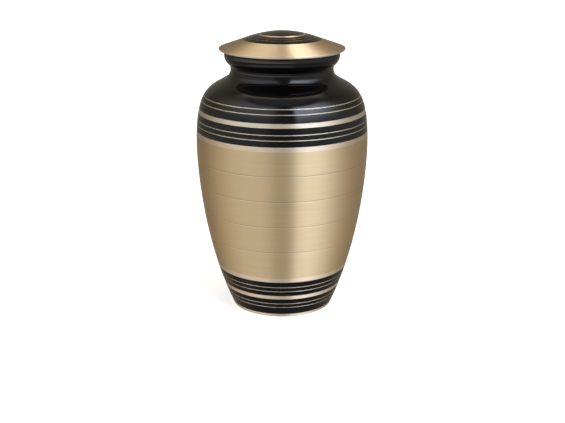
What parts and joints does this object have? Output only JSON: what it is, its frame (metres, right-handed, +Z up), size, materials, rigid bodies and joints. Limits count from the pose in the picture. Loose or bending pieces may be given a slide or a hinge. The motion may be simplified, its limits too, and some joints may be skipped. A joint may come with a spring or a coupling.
{
  "type": "cremation urn",
  "caption": "Tall turned brass urn with a rounded shoulder, narrow neck and lift-off domed lid, banded in black enamel.",
  "frame": {"origin": "centre of the underside, on the surface that the urn stands on", "axes": "+Z up along the turning axis; the urn is the same all round, so +X and +Y are free"},
  "size_m": [0.1558, 0.1558, 0.2541],
  "materials": {
    "brass": "turned and brushed round the axis, satin",
    "black_enamel": "high gloss black enamel on the brass, with bright rings turned through it"
  },
  "bodies": {
    "root": {"urn_body": "brass", "lid": "brass"}
  },
  "joints": []
}
